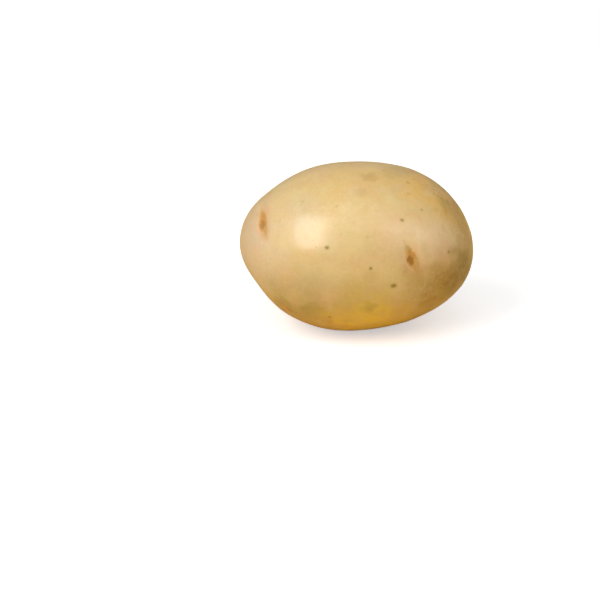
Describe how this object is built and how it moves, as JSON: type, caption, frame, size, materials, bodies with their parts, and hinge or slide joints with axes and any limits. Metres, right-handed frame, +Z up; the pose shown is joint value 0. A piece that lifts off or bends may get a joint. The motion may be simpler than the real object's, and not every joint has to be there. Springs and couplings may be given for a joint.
{
  "type": "potato",
  "caption": "Smooth washed potato with pale yellow skin and shallow eyes, lying on its side on a small pressed flat.",
  "frame": {"origin": "middle of the footprint, at the resting flat under the tuber", "axes": "+X along the tuber towards the stem end, -Y the front, +Z up from the resting flat"},
  "size_m": [0.088, 0.07, 0.0625],
  "materials": {
    "skin": "smooth, waxy, softly glossy skin"
  },
  "bodies": {
    "root": {"potato": "skin"}
  },
  "joints": []
}
